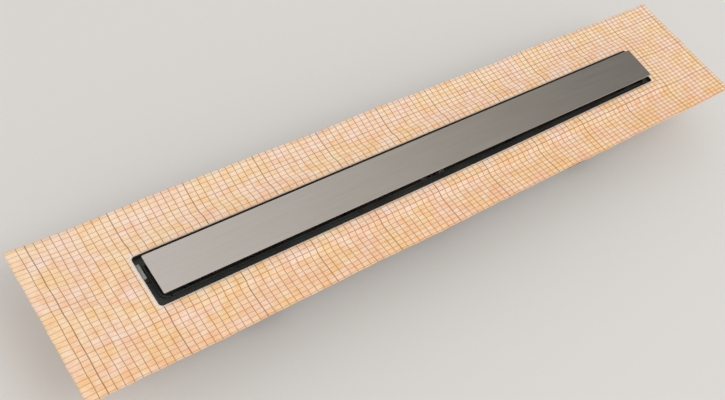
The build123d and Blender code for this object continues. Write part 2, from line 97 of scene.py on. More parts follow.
def moulded(name, dark, light, grain, rough, depth):
    """A moulded skin, clouded in colour and gloss, with a fine grain. Grain and depth are in millimetres."""
    finish, tree, shader, place = new_finish(name)
    cloud = add(tree, "TexNoise", {"Vector": place, "Scale": per_metre(cloud_size), "Detail": 4.0})
    skin = add(tree, "TexNoise", {"Vector": place, "Scale": per_metre(grain), "Detail": 2.0})
    tint = add(tree, "ValToRGB", {"Fac": cloud.outputs["Fac"]}, ((0.35, dark), (0.65, light)))
    gloss = add(tree, "MapRange", {"Value": cloud.outputs["Fac"],
                                   "From Min": noise_low, "From Max": noise_high,
                                   "To Min": rough - gloss_swing, "To Max": rough + gloss_swing})
    relief = add(tree, "Bump", {"Height": skin.outputs["Fac"], "Strength": 0.35, "Distance": depth / 1000})
    tree.links.new(tint.outputs["Color"], shader.inputs["Base Color"])
    tree.links.new(gloss.outputs["Result"], shader.inputs["Roughness"])
    tree.links.new(relief.outputs["Normal"], shader.inputs["Normal"])
    return finish


def softened(node, edge):
    """A merged copy of a node's mesh, its flat faces made whole and its sharp edges rounded."""
    shape = bmesh.new()
    shape.from_mesh(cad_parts[node].data)
    bmesh.ops.remove_doubles(shape, verts=shape.verts, dist=weld_gap)
    bmesh.ops.dissolve_limit(shape, angle_limit=flat_angle, verts=shape.verts, edges=shape.edges)
    sharp = [side for side in shape.edges if side.is_manifold and side.calc_face_angle() > sharp_angle]
    bmesh.ops.bevel(shape, geom=sharp, offset=edge, offset_type="OFFSET", affect="EDGES", segments=2,
                    profile=0.5, material=-1, clamp_overlap=True)
    return shape


def placed(name, shape, finish):
    """A finished shape as an object at the origin, smooth except across its sharp edges."""
    mesh = bpy.data.meshes.new(name)
    shape.to_mesh(mesh)
    shape.free()
    mesh.shade_smooth()
    mesh.set_sharp_from_angle(angle=sharp_angle)
    mesh.materials.append(finish)
    piece = bpy.data.objects.new(name, mesh)
    even = piece.modifiers.new("flat faces stay flat", "WEIGHTED_NORMAL")
    even.keep_sharp = True
    bpy.context.scene.collection.objects.link(piece)
    return piece


# Moulded ABS: a soft sheen that the fine grain breaks up, never a mirror.
# The real grain is about 0.1 mm, too fine to show, so it is drawn 1.2 mm across.
black_abs = moulded("moulded black ABS", channel_dark, channel_light, grain=1.2, rough=0.44, depth=0.06)
channel = placed("channel_moulding", softened("channel_body", channel_edge), black_abs)
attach(channel, "root")
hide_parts("channel_body")


# Trap gasket: a flat ring punched from black EPDM sheet.
# The trap's screws squeeze it between the pot's flange and the pad under the channel.
gasket_edge = 0.0003
rubber_dark = "#141414"
rubber_light = "#1F1F1E"

# EPDM rubber: dull black, dusty rather than shiny. Its grain is drawn coarse enough to show.
black_rubber = moulded("black EPDM rubber", rubber_dark, rubber_light, grain=2.0, rough=0.72, depth=0.05)
gasket = placed("trap_gasket_ring", softened("trap_gasket", gasket_edge), black_rubber)
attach(gasket, "root")
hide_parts("trap_gasket")


# Trap housing: the pot under the outlet with its flange, ribs and side spigot.
# It is moulded in black polypropylene, waxier and a little darker than the channel.
pot_edge = 0.0005
polypropylene_dark = "#1C1E1F"
polypropylene_light = "#2A2C2E"

# Polypropylene: a waxy, even half-gloss. Its grain is drawn coarse enough to show.
black_polypropylene = moulded("black polypropylene", polypropylene_dark, polypropylene_light,
                              grain=1.6, rough=0.5, depth=0.05)
pot = placed("trap_pot", softened("trap_housing", pot_edge), black_polypropylene)
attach(pot, "root")
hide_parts("trap_housing")


# Trap screws: four pan-head screws with a cross recess, cold-headed in steel and then zinc-plated.
# They hold the pot to the channel from below, so the heads look at the floor.
head_height = 0.003
recess_depth = 0.0016
recess_taper = 0.6
zinc_light = "#C9CCCB"
zinc_warm = "#BDB9A6"
zinc_cloud = 9
zinc_rough = (0.26, 0.46)
# Shares of the head's radius, and for its round outline also of its height
recess_reach = 0.52
recess_half_width = 0.15
screw_crown = 0.55
head_outline = ((0.8, -0.12), (0.94, -0.38), (1.0, -0.75), (1.0, -1.0))
shank_share = 0.47
# Where the tip starts along the screw, and its end as a share of the shank
tip_start = 0.96
tip_share = 0.5


def solids(node):
    """The boxes, lowest and highest corner, of the separate solids in one node."""
    shape = bmesh.new()
    shape.from_mesh(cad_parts[node].data)
    bmesh.ops.remove_doubles(shape, verts=shape.verts, dist=weld_gap)
    unseen = set(shape.verts)
    boxes = []
    while unseen:
        wave = [unseen.pop()]
        found = list(wave)
        while wave:
            vert = wave.pop()
            near = {side.other_vert(vert) for side in vert.link_edges} & unseen
            unseen -= near
            wave += near
            found += near
        low = Vector([min(vert.co[axis] for vert in found) for axis in range(3)])
        high = Vector([max(vert.co[axis] for vert in found) for axis in range(3)])
        boxes.append((low, high))
    shape.free()
    return sorted(boxes, key=lambda box: tuple(round(value, 5) for value in box[0]))


def only_verts(parts):
    """The vertices among the parts of a shape."""
    return [part for part in parts if isinstance(part, bmesh.types.BMVert)]


def repeat(shape, boxes):
    """Puts a shape made at the origin on the middle of each box's underside."""
    places = [Vector(((low.x + high.x) / 2, (low.y + high.y) / 2, low.z)) for low, high in boxes]
    first = shape.verts[:] + shape.edges[:] + shape.faces[:]
    for place in places[1:]:
        copy = bmesh.ops.duplicate(shape, geom=first)["geom"]
        bmesh.ops.translate(shape, vec=place, verts=only_verts(copy))
    bmesh.ops.translate(shape, vec=places[0], verts=only_verts(first))


def edges_between(parts, verts):
    """The edges among the parts of a shape that join two of the given vertices."""
    return [part for part in parts if isinstance(part, bmesh.types.BMEdge)
            and all(vert in verts for vert in part.verts)]


screw_boxes = solids("trap_screws")
screw_low, screw_high = screw_boxes[0]
head_radius = (screw_high.x - screw_low.x) / 2
screw_length = screw_high.z - screw_low.z
arm = recess_reach * head_radius
half_arm = recess_half_width * head_radius
screw = bmesh.new()
crown = bmesh.ops.create_circle(screw, segments=24, radius=screw_crown * head_radius)["verts"]
crown_edges = list({side for vert in crown for side in vert.link_edges})
quarter = [(arm, -half_arm, 0), (arm, half_arm, 0), (half_arm, half_arm, 0)]
corners = []
for turn in range(4):
    turned = Matrix.Rotation(turn * math.pi / 2, 3, "Z")
    corners += [screw.verts.new(turned @ Vector(point)) for point in quarter]
recess_edges = [screw.edges.new(pair) for pair in zip(corners, corners[1:] + corners[:1])]
bmesh.ops.triangle_fill(screw, edges=crown_edges + recess_edges, use_beauty=True, normal=(0, 0, 1))
sunk = bmesh.ops.extrude_edge_only(screw, edges=recess_edges)["geom"]
bottom = only_verts(sunk)
bmesh.ops.translate(screw, vec=(0, 0, -recess_depth), verts=bottom)
bmesh.ops.scale(screw, vec=(recess_taper, recess_taper, 1), verts=bottom)
bmesh.ops.edgeloop_fill(screw, edges=edges_between(sunk, bottom))
rim = crown_edges
screw_end = -screw_length / head_height
shank_outline = ((shank_share, -1.0), (shank_share, tip_start * screw_end),
                 (tip_share * shank_share, screw_end))
for share, level in head_outline + shank_outline:
    grown = bmesh.ops.extrude_edge_only(screw, edges=rim)["geom"]
    ring = only_verts(grown)
    rim = edges_between(grown, ring)
    for vert in ring:
        vert.co.xy = vert.co.xy.normalized() * share * head_radius
        vert.co.z = level * head_height
bmesh.ops.edgeloop_fill(screw, edges=rim)
bmesh.ops.recalc_face_normals(screw, faces=screw.faces)
bmesh.ops.rotate(screw, cent=(0, 0, 0), matrix=Matrix.Rotation(math.pi, 3, "X"), verts=screw.verts)
repeat(screw, screw_boxes)

# Clear-passivated zinc: a bright blue-grey metal with warm clouds and an uneven gloss.
zinc_steel, tree, shader, place = new_finish("zinc-plated steel")
cloud = add(tree, "TexNoise", {"Vector": place, "Scale": per_metre(zinc_cloud), "Detail": 5.0})
tint = add(tree, "ValToRGB", {"Fac": cloud.outputs["Fac"]}, ((0.38, zinc_light), (0.68, zinc_warm)))
gloss = add(tree, "MapRange", {"Value": cloud.outputs["Fac"], "From Min": noise_low, "From Max": noise_high,
                               "To Min": zinc_rough[0], "To Max": zinc_rough[1]})
shader.inputs["Metallic"].default_value = 1.0
tree.links.new(tint.outputs["Color"], shader.inputs["Base Color"])
tree.links.new(gloss.outputs["Result"], shader.inputs["Roughness"])
screws = placed("trap_screw_set", screw, zinc_steel)
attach(screws, "root")
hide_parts("trap_screws")


# Leg studs: four lengths of M8 threaded rod in zinc-plated steel, cut off and chamfered at both ends.
# Each screws into its base and passes up through a lug, so that its nuts set the channel's height.
leg_pitch = 0.00125
leg_count = 4
# One turn of thread: how far along the rod, and how far sunk below its crest, as shares of the pitch
thread_form = ((0.0, 0.613), (0.25, 0.613), (0.5625, 0.0), (0.6875, 0.0))


def threaded_rod(radius, length, pitch, steps):
    """A rod at the origin, on z = 0: a tall notched profile, spun once round while it climbs one pitch."""
    rod = bmesh.new()
    profile = []
    for turn in range(-2, math.ceil(length / pitch) + 2):
        for climb, sunk in thread_form:
            profile.append(rod.verts.new((radius - sunk * pitch, 0, (turn + climb) * pitch)))
    sides = [rod.edges.new(pair) for pair in zip(profile, profile[1:])]
    bmesh.ops.spin(rod, geom=profile + sides, cent=(0, 0, 0), axis=(0, 0, 1), dvec=(0, 0, pitch / steps),
                   angle=2 * math.pi, steps=steps, use_merge=False)
    bmesh.ops.remove_doubles(rod, verts=rod.verts, dist=weld_gap)
    for level, top in ((0, False), (length, True)):
        everything = rod.verts[:] + rod.edges[:] + rod.faces[:]
        bmesh.ops.bisect_plane(rod, geom=everything, plane_co=(0, 0, level), plane_no=(0, 0, 1),
                               clear_outer=top, clear_inner=not top, dist=weld_gap)
        cut = [side for side in rod.edges if all(abs(vert.co.z - level) < weld_gap for vert in side.verts)]
        bmesh.ops.edgeloop_fill(rod, edges=cut)
    for vert in rod.verts:
        room = radius - pitch + min(vert.co.z, length - vert.co.z)
        if vert.co.xy.length > room:
            vert.co.xy *= room / vert.co.xy.length
    bmesh.ops.recalc_face_normals(rod, faces=rod.faces)
    return rod


for number in range(1, leg_count + 1):
    stud_low, stud_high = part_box(f"leg_stud_{number}")
    stud_middle = (stud_low + stud_high) / 2
    rod_radius = (stud_high.x - stud_low.x) / 2
    stud = threaded_rod(rod_radius, stud_high.z - stud_low.z, leg_pitch, steps=20)
    bmesh.ops.translate(stud, vec=(stud_middle.x, stud_middle.y, stud_low.z), verts=stud.verts)
    rod = placed(f"leg_rod_{number}", stud, zinc_steel)
    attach(rod, "root")
    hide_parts(f"leg_stud_{number}")


# Leg washers: eight stamped zinc-plated steel rings, one above and one below each lug.
# The punch rounds one outer edge and tumbling dulls the other, so both are eased a little.
washer_edge = 0.00025


def spun(outline, steps=48):
    """A closed outline of radius and height, spun round into a ring."""
    ring = bmesh.new()
    points = [ring.verts.new((radius, 0, height)) for radius, height in outline]
    sides = [ring.edges.new(pair) for pair in zip(points, points[1:] + points[:1])]
    bmesh.ops.spin(ring, geom=points + sides, cent=(0, 0, 0), axis=(0, 0, 1), angle=2 * math.pi,
                   steps=steps, use_merge=True)
    bmesh.ops.remove_doubles(ring, verts=ring.verts, dist=weld_gap)
    bmesh.ops.recalc_face_normals(ring, faces=ring.faces)
    return ring


washer_boxes = solids("leg_washers")
washer_low, washer_high = washer_boxes[0]
washer_radius = (washer_high.x - washer_low.x) / 2
washer_height = washer_high.z - washer_low.z
washer = spun(((rod_radius, 0), (washer_radius - washer_edge, 0), (washer_radius, washer_edge),
               (washer_radius, washer_height - washer_edge), (washer_radius - washer_edge, washer_height),
               (rod_radius, washer_height)))
repeat(washer, washer_boxes)
washers = placed("leg_washer_set", washer, zinc_steel)
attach(washers, "root")
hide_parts("leg_washers")


# Leg nuts: eight M8 hexagon nuts in zinc-plated steel, chamfered on both faces.
# Two on each stud clamp a lug between their washers.
leg_nut_width = 0.013


def hex_nut(width, height, bore):
    """A nut at the origin, on z = 0: a chamfered ring spun round, then pressed in to six flats."""
    flat = width / 2
    corner = flat / math.cos(math.pi / 6)
    slope = math.tan(math.pi / 6)
    fall = (corner - flat) * slope
    nut = spun(((bore, 0), (flat, 0), (corner, fall),
                (corner, height - fall), (flat, height), (bore, height)))
    for vert in nut.verts:
        radius = vert.co.xy.length
        if radius > flat + weld_gap:
            turn = math.atan2(vert.co.y, vert.co.x) % (math.pi / 3) - math.pi / 6
            reach = flat / math.cos(turn)
            rise = (reach - flat) * slope
            vert.co.z = rise if vert.co.z < height / 2 else height - rise
            vert.co.xy *= reach / radius
    bmesh.ops.remove_doubles(nut, verts=nut.verts, dist=weld_gap)
    return nut


nut_boxes = solids("leg_nuts")
nut_height = nut_boxes[0][1].z - nut_boxes[0][0].z
nut = hex_nut(leg_nut_width, nut_height, rod_radius - leg_pitch / 2)
repeat(nut, nut_boxes)
nuts = placed("leg_nut_set", nut, zinc_steel)
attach(nuts, "root")
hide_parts("leg_nuts")


# Leg bases: four black polypropylene plates with a socket for the stud and two screw holes.
# They are screwed to the bare floor and end up buried in the screed.
base_edge = 0.0005

for number in range(1, leg_count + 1):
    base = placed(f"leg_foot_{number}", softened(f"leg_base_{number}", base_edge), black_polypropylene)
    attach(base, "root")
    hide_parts(f"leg_base_{number}")


# Leg soles: four thin pads of the same black rubber, bonded under the bases.
# They keep footfall noise out of the floor.
sole_edge = 0.0004

for number in range(1, leg_count + 1):
    sole = placed(f"leg_pad_{number}", softened(f"leg_sole_{number}", sole_edge), black_rubber)
    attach(sole, "root")
    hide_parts(f"leg_sole_{number}")


# Sealing collar: a polyethylene membrane faced with orange polypropylene fleece, printed with a cutting grid.
# It is cut from the roll, bonded over the rim and flange, and its loose margins curl up a little.
collar_low, collar_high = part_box("sealing_collar")
collar_length = collar_high.x - collar_low.x
collar_breadth = collar_high.y - collar_low.y
collar_end = collar_length / 2
collar_thickness = 0.0008
cutout_length = 0.888
cutout_width = 0.072
cutout_corner = 0.005
cutout_end = cutout_length / 2
cutout_side = cutout_width / 2
# Spacing of the mesh, close over the bend and round the corners
coarse_pitch = 0.004
bend_pitch = 0.0016
rim_pitch = 0.003
corner_pitch = 0.00125
# The bonded part: flat on the rim, then down to the flange, more gently at the ends
rim_flat = 0.012
rim_step = 0.0038
bend_width = 0.013
end_bend_width = 0.05
bonded_width = 0.026
loose_width = 0.045
# The loose margins: how far the ends rise, how far the sides do at the left and at the right, and the swell
end_start = 0.47
end_run = 0.09
left_lift = 0.005
left_droop = 0.8
right_lift = 0.005
right_middle = 0.75
front_lift = (0.002, 0.0055)
back_lift = (0.005, 0.003)
lift_change = (-0.45, 0.3)
side_steepness = 1.2
end_calm = 0.7
waves = ((0.0013, 0.31, 0.6), (0.0008, 0.17, 2.1))
# The cut edges: uneven outside, askew along the front of the cut-out, lapping the slot at its right end
cut_wander = 0.0006
cut_wander_length = 0.083
corner_trim = 0.008
cut_skew = 0.003
end_lap = 0.002
# The print on the flat sheet: two runs of lines across that meet at the join, one run of lines along
cross_pitch = 0.01026
cross_dark_at = -0.5425
print_join = 0.0157
joined_pitch = 0.00995
joined_dark_at = 0.0615
long_pitch = 0.00627
long_dark_at = 0.0117
dark_every = 10
selvedge = 0.007


def ease(share):
    """A step from 0 to 1 with soft ends."""
    share = min(max(share, 0), 1)
    return share * share * (3 - 2 * share)


def spaced(stops, pitches):
    """Places of lines from stop to stop, each span divided evenly at about its own pitch."""
    lines = [stops[0]]
    for start, end, pitch in zip(stops, stops[1:], pitches):
        count = max(1, round((end - start) / pitch))
        lines += [start + (end - start) * step / count for step in range(1, count + 1)]
    return lines


def sheet_lines(half_cut, half_sheet):
    """Grid lines across the sheet, close together at the cut-out's corners and over the bend."""
    inner = half_cut - cutout_corner
    stops = (inner, half_cut, half_cut + rim_flat, half_cut + rim_flat + bend_width, half_sheet)
    outer = spaced(stops, (corner_pitch, rim_pitch, bend_pitch, coarse_pitch))
    middle = spaced((-inner, inner), (coarse_pitch,))
    return [-place for place in reversed(outer)] + middle[1:-1] + outer


def past_cutout(x, y):
    """How far a point of the sheet is from the edge of the cut-out, negative inside it."""
    across = abs(x) - cutout_end + cutout_corner
    along = abs(y) - cutout_side + cutout_corner
    return math.hypot(max(across, 0), max(along, 0)) + min(max(across, along), 0) - cutout_corner


def laid_height(x, y):
    """The height of a point of the flat sheet once it is laid over the rim."""
    gap = past_cutout(x, y)
    endward = ease((abs(x) - cutout_end) / max(abs(y) - cutout_side, weld_gap) / 2)
    bend = bend_width + (end_bend_width - bend_width) * endward
    drop = rim_step * ease((gap - rim_flat) / bend)
    left = ease((-x - end_start) / end_run) * left_lift * (1 - left_droop * (2 * y / collar_breadth) ** 2)
    right = ease((x - end_start) / end_run) * right_lift * (right_middle - y / collar_breadth / 2)
    swell = sum(size * math.sin(2 * math.pi * x / length + start + math.copysign(1, y))
                for size, length, start in waves)
    loose = ease((gap - bonded_width) / loose_width)
    near, far = back_lift if y > 0 else front_lift
    rightward = ease((x - lift_change[0]) / (lift_change[1] - lift_change[0]))
    outward = max(abs(y) - cutout_side - bonded_width, 0) / (collar_breadth - cutout_width) * 2
    calm = 1 - end_calm * ease((abs(x) - cutout_end) / end_run)
    side = (near + (far - near) * rightward) * ease(outward * side_steepness) * calm
    return collar_high.z - drop + loose * (left + right + swell) + side


def laid_place(x, y):
    """The place of a point of the flat sheet in plan, with the cut edges as they are trimmed."""
    gap = past_cutout(x, y)
    loose = ease((gap - bonded_width) / loose_width)
    wander = cut_wander * math.sin(2 * math.pi * (x + y) / cut_wander_length) * loose
    trim = corner_trim * ease((x - end_start) / end_run) * ease(0.5 + y / collar_breadth)
    lap = end_lap * ease((x - cutout_end) / 2 / cutout_corner + 1) * (1 - ease(gap / rim_flat))
    skew = cut_skew * ease(x / cutout_end) * (1 - ease(gap / bonded_width)) * (y < 0)
    return (x - math.copysign(wander, x) * (abs(x) > end_start) - trim - lap,
            y - math.copysign(wander, y) + skew)


columns = sheet_lines(cutout_end, collar_end)
rows = sheet_lines(cutout_side, collar_breadth / 2)
collar = bmesh.new()
bmesh.ops.create_grid(collar, x_segments=len(columns) - 1, y_segments=len(rows) - 1, size=0.5)
for vert in collar.verts:
    column = columns[round((vert.co.x + 0.5) * (len(columns) - 1))]
    row = rows[round((vert.co.y + 0.5) * (len(rows) - 1))]
    vert.co = (column, row, 0)
inside = [face for face in collar.faces if past_cutout(*face.calc_center_median().xy) < 0]
bmesh.ops.delete(collar, geom=inside, context="FACES")
for vert in collar.verts:
    centre = Vector((math.copysign(cutout_end - cutout_corner, vert.co.x),
                     math.copysign(cutout_side - cutout_corner, vert.co.y), 0))
    spoke = vert.co - centre
    in_corner = spoke.x * vert.co.x > 0 and spoke.y * vert.co.y > 0 and spoke.length < 2 * cutout_corner
    if vert.is_boundary and in_corner:
        vert.co = centre + spoke.normalized() * cutout_corner
printed = collar.loops.layers.uv.new("printed grid")
for face in collar.faces:
    joined = face.calc_center_median().x > print_join
    pitch, dark_at = (joined_pitch, joined_dark_at) if joined else (cross_pitch, cross_dark_at)
    for loop in face.loops:
        x, y = loop.vert.co.xy
        loop[printed].uv = ((x - dark_at) / pitch, (y - long_dark_at) / long_pitch)
for vert in collar.verts:
    x, y = vert.co.xy
    vert.co = (*laid_place(x, y), laid_height(x, y))
bmesh.ops.recalc_face_normals(collar, faces=collar.faces)

# Printed fleece: a soft mottled peach, deeper orange along the front margin and paler along the back.
# The brown ink is thinner in the hollows between tufts and is pressed harder towards the right end.
# The fibres are about 0.03 mm thick, too fine to show, so their tufts are drawn 1.8 mm across.
fleece_orange = "#F8BE85"
fleece_peach = "#FBD3AB"
fleece_pale = "#FDE3C9"
fleece_cream = "#FEEFDF"
fleece_pink = "#FBD7C5"
fleece_yellow = "#FCDA9A"
cut_edge_colour = "#F3E9DD"
ink_brown = "#924F1E"
ink_dark = "#593621"
patch_size = 11
drift_size = 34
tuft_size = 1.8
waver_size = 18
drawn_out = 0.7
warmth_share = 0.36
speckle_range = (0.93, 1.05)
fleece_rough = 0.92
fleece_sheen = 0.12
nap_depth = 0.0002
# How far the mottle shifts along the front and the back, from near the cut-out to the outer edge
toned_from = 0.045
toned_to = 0.1
front_shift = (0.0, -0.11)
back_shift = (-0.02, 0.06)
# The fleece is trimmed back at the ends of the cut-out, more at the left; a thin pale line along its sides is
# a painted highlight on the cut edges
trim_width = 0.001
left_trim_extra = 0.0028
trim_blur = 0.0007
trim_inside = 0.004
trim_outside = 0.001
trim_strength = 0.95
edge_highlight_width = 0.0018
edge_highlight_strength = 0.6
# Width and strength of the fine and the bold lines, their spread, and the ink's weight at the left and right
cross_lines = ((0.00105, 0.92), (0.0013, 1.0))
long_lines = ((0.00095, 0.68), (0.00115, 0.84))
line_core = 0.3
line_reach = 0.7
line_waver = 0.04
line_thinning = (1.08, 0.88)
cross_press = (0.9, 1.0)
long_press = (0.68, 1.04)
# Heights of the nap between which the ink grows from its least to full, on faces that look up by this much
inked_nap = (0.35, 0.6)
least_ink = 0.68
upward = 0.2

fleece, tree, shader, place = new_finish("printed orange fleece")
spot = add(tree, "SeparateXYZ", {"Vector": place})
laid = add(tree, "Mapping", {"Vector": place, "Scale": (drawn_out, 1, 1)})
patch = add(tree, "TexNoise", {"Vector": laid.outputs["Vector"], "Scale": per_metre(patch_size),
                               "Detail": 4.0, "Roughness": 0.6})
drift = add(tree, "TexNoise", {"Vector": laid.outputs["Vector"], "Scale": per_metre(drift_size),
                               "Detail": 3.0})
fibre = add(tree, "TexNoise", {"Vector": place, "Scale": per_metre(tuft_size),
                               "Detail": 3.0, "Roughness": 0.7})

# Mottled cloth, deeper orange along the front margin and paler along the back
front_tone = add(tree, "MapRange", {"Value": spot.outputs["Y"], "From Min": -toned_from, "From Max": -toned_to,
                                   "To Min": front_shift[0], "To Max": front_shift[1]})
back_tone = add(tree, "MapRange", {"Value": spot.outputs["Y"], "From Min": toned_from, "From Max": toned_to,
                                  "To Min": back_shift[0], "To Max": back_shift[1]})
paler = add(tree, "Math", {0: front_tone.outputs["Result"], 1: back_tone.outputs["Result"]}, operation="ADD")
toned = add(tree, "Math", {0: patch.outputs["Fac"], 1: paler.outputs[0]}, operation="ADD")
mottle = add(tree, "ValToRGB", {"Fac": toned.outputs[0]}, (
    (0.26, fleece_orange), (0.44, fleece_peach), (0.56, fleece_pale), (0.74, fleece_cream)))
warmth = add(tree, "ValToRGB", {"Fac": drift.outputs["Fac"]}, ((0.4, fleece_pink), (0.6, fleece_yellow)))
blend = add(tree, "MixRGB", {"Fac": warmth_share, "Color1": mottle.outputs["Color"],
                             "Color2": warmth.outputs["Color"]})
speckle = add(tree, "MapRange", {"Value": fibre.outputs["Fac"],
                                 "From Min": noise_low, "From Max": noise_high,
                                 "To Min": speckle_range[0], "To Max": speckle_range[1]})
cloth = add(tree, "VectorMath", {0: blend.outputs["Color"], "Scale": speckle.outputs["Result"]},
            operation="SCALE")

# Bare membrane where the fleece is trimmed back round the cut-out, and a painted highlight along the cut
# edges of its sides
grid = add(tree, "SeparateXYZ", {"Vector": add(tree, "UVMap", uv_map="printed grid").outputs["UV"]})
flat_y = add(tree, "Math", {0: grid.outputs["Y"], 1: long_pitch, 2: long_dark_at}, operation="MULTIPLY_ADD")
sides = add(tree, "Math", {0: flat_y.outputs[0]}, operation="ABSOLUTE")
ends = add(tree, "Math", {0: spot.outputs["X"]}, operation="ABSOLUTE")
left_half = add(tree, "Math", {0: spot.outputs["X"], 1: 0.0}, operation="LESS_THAN")
reach = add(tree, "Math", {0: left_half.outputs[0], 1: left_trim_extra, 2: cutout_end + trim_width},
            operation="MULTIPLY_ADD")
past_trim = add(tree, "Math", {0: ends.outputs[0], 1: reach.outputs[0]}, operation="SUBTRACT")
near_end = add(tree, "MapRange", {"Value": past_trim.outputs[0],
                                  "From Min": -trim_blur, "From Max": trim_blur,
                                  "To Min": 1.0, "To Max": 0.0})
near_side = add(tree, "MapRange", {"Value": sides.outputs[0], "From Min": cutout_side - trim_inside,
                                   "From Max": cutout_side + trim_outside,
                                   "To Min": trim_strength, "To Max": 0.0})
beside = add(tree, "Math", {0: near_end.outputs[0], 1: near_side.outputs[0]}, operation="MULTIPLY")
# A thin pale band just outside the cut-out's sides, along its length: a painted highlight on the cut edge
along = add(tree, "MapRange", {"Value": sides.outputs[0], "From Min": cutout_side + edge_highlight_width / 2,
                               "From Max": cutout_side + edge_highlight_width, "To Min": edge_highlight_strength, "To Max": 0.0})
within = add(tree, "Math", {0: ends.outputs[0], 1: cutout_end}, operation="LESS_THAN")
painted_edge_highlight = add(tree, "Math", {0: along.outputs[0], 1: within.outputs[0]}, operation="MULTIPLY")
# One mask for the bare membrane at the ends and the painted edge highlight along the sides; the ink is kept
# off both
trimmed = add(tree, "Math", {0: beside.outputs[0], 1: painted_edge_highlight.outputs[0]}, operation="MAXIMUM")
faced = add(tree, "MixRGB", {"Fac": trimmed.outputs[0], "Color1": cloth.outputs["Vector"],
                             "Color2": linear(cut_edge_colour)})

# Printed lines, fine ones and every tenth one bold
waver = add(tree, "TexNoise", {"Vector": place, "Scale": per_metre(waver_size), "Detail": 2.0})
shake = add(tree, "MapRange", {"Value": waver.outputs["Fac"], "To Min": -line_waver, "To Max": line_waver})
thin = add(tree, "MapRange", {"Value": spot.outputs["X"], "From Min": -collar_end, "From Max": collar_end,
                              "To Min": line_thinning[0], "To Max": line_thinning[1]})
inks = []
for way, pitch, widths, press in (("X", cross_pitch, cross_lines, cross_press),
                                  ("Y", long_pitch, long_lines, long_press)):
    count = add(tree, "Math", {0: grid.outputs[way], 1: shake.outputs["Result"]}, operation="ADD")
    force = add(tree, "MapRange", {"Value": spot.outputs["X"],
                                   "From Min": -collar_end, "From Max": collar_end,
                                   "To Min": press[0], "To Max": press[1]})
    lines = []
    for every, (width, strength) in zip((1, dark_every), widths):
        share = add(tree, "Math", {0: count.outputs[0], 1: every}, operation="DIVIDE")
        off = add(tree, "Math", {0: share.outputs[0], 1: 0.5}, operation="PINGPONG")
        away = add(tree, "Math", {0: off.outputs[0], 1: thin.outputs["Result"]}, operation="MULTIPLY")
        part = width / pitch / every
        line = add(tree, "MapRange", {"Value": away.outputs[0], "From Min": line_core * part,
                                      "From Max": line_reach * part, "To Min": strength, "To Max": 0.0})
        lines.append(line.outputs["Result"])
    both = add(tree, "Math", {0: lines[0], 1: lines[1]}, operation="MAXIMUM")
    pressed = add(tree, "Math", {0: both.outputs[0], 1: force.outputs["Result"]}, operation="MULTIPLY")
    inks.append((both.outputs[0], pressed.outputs[0]))
(cross_drawn, cross_inked), (long_drawn, long_inked) = inks
past_selvedge = add(tree, "Math", {0: spot.outputs["X"], 1: selvedge - collar_end}, operation="GREATER_THAN")
cross_ink = add(tree, "Math", {0: cross_inked, 1: past_selvedge.outputs[0]}, operation="MULTIPLY")
laid_ink = add(tree, "Math", {0: cross_ink.outputs[0], 1: long_inked}, operation="MAXIMUM")
broken = add(tree, "MapRange", {"Value": fibre.outputs["Fac"],
                                "From Min": inked_nap[0], "From Max": inked_nap[1],
                                "To Min": least_ink, "To Max": 1.0})
worn = add(tree, "Math", {0: laid_ink.outputs[0], 1: broken.outputs["Result"]}, operation="MULTIPLY")
facing = add(tree, "SeparateXYZ", {"Vector": add(tree, "NewGeometry").outputs["Normal"]})
upper = add(tree, "Math", {0: facing.outputs["Z"], 1: upward}, operation="GREATER_THAN")
covered = add(tree, "Math", {0: 1.0, 1: trimmed.outputs[0]}, operation="SUBTRACT")
kept = add(tree, "Math", {0: upper.outputs[0], 1: covered.outputs[0]}, operation="MULTIPLY")
stamped = add(tree, "Math", {0: worn.outputs[0], 1: kept.outputs[0]}, operation="MULTIPLY")
drawn = add(tree, "Math", {0: cross_drawn, 1: long_drawn}, operation="MAXIMUM")
tone = add(tree, "MapRange", {"Value": drawn.outputs[0], "From Min": cross_lines[0][1],
                              "From Max": cross_lines[1][1]})
pigment = add(tree, "MixRGB", {"Fac": tone.outputs["Result"], "Color1": linear(ink_brown),
                               "Color2": linear(ink_dark)})
surface = add(tree, "MixRGB", {"Fac": stamped.outputs[0], "Color1": faced.outputs["Color"],
                               "Color2": pigment.outputs["Color"]})
nap = add(tree, "Bump", {"Height": fibre.outputs["Fac"], "Strength": 0.4, "Distance": nap_depth})
shader.inputs["Roughness"].default_value = fleece_rough
shader.inputs["Sheen Weight"].default_value = fleece_sheen
tree.links.new(surface.outputs["Color"], shader.inputs["Base Color"])
tree.links.new(nap.outputs["Normal"], shader.inputs["Normal"])

membrane = placed("membrane_sheet", collar, fleece)
wall = membrane.modifiers.new("thickness", "SOLIDIFY")
wall.thickness = collar_thickness
wall.offset = -1
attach(membrane, "root")
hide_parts("sealing_collar")


# End buffers: two short blocks cut from grey closed-cell foam rubber and stuck on the shelf, one at each end.
# They keep the cover from sliding endways and rattling.
buffer_edge = 0.0008
foam_dark = "#858785"
foam_light = "#ACAEAA"


def block(low, high):
    """A plain block between two corners."""
    shape = bmesh.new()
    bmesh.ops.create_cube(shape, size=1)
    bmesh.ops.scale(shape, vec=high - low, verts=shape.verts)
    bmesh.ops.translate(shape, vec=(low + high) / 2, verts=shape.verts)
    return shape


# Cut foam: pale matt grey, pitted with cut cells about 1 mm across.
grey_foam = moulded("grey foam rubber", foam_dark, foam_light, grain=1.0, rough=0.85, depth=0.25)
for end in ("left", "right"):
    foam = block(*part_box(f"end_buffer_{end}"))
    bmesh.ops.bevel(foam, geom=foam.edges[:], offset=buffer_edge, offset_type="OFFSET", affect="EDGES",
                    segments=3, profile=0.5, material=-1)
    buffer = placed(f"buffer_block_{end}", foam, grey_foam)
    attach(buffer, "root")
    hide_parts(f"end_buffer_{end}")


# Dip tube: the stepped tube that hangs in the trap and dips under its water, moulded in grey polypropylene.
# It drops into the seat in the channel's pad and lifts out for cleaning.
tube_edge = 0.0003
grey_dark = "#6E7274"
grey_light = "#868A8B"

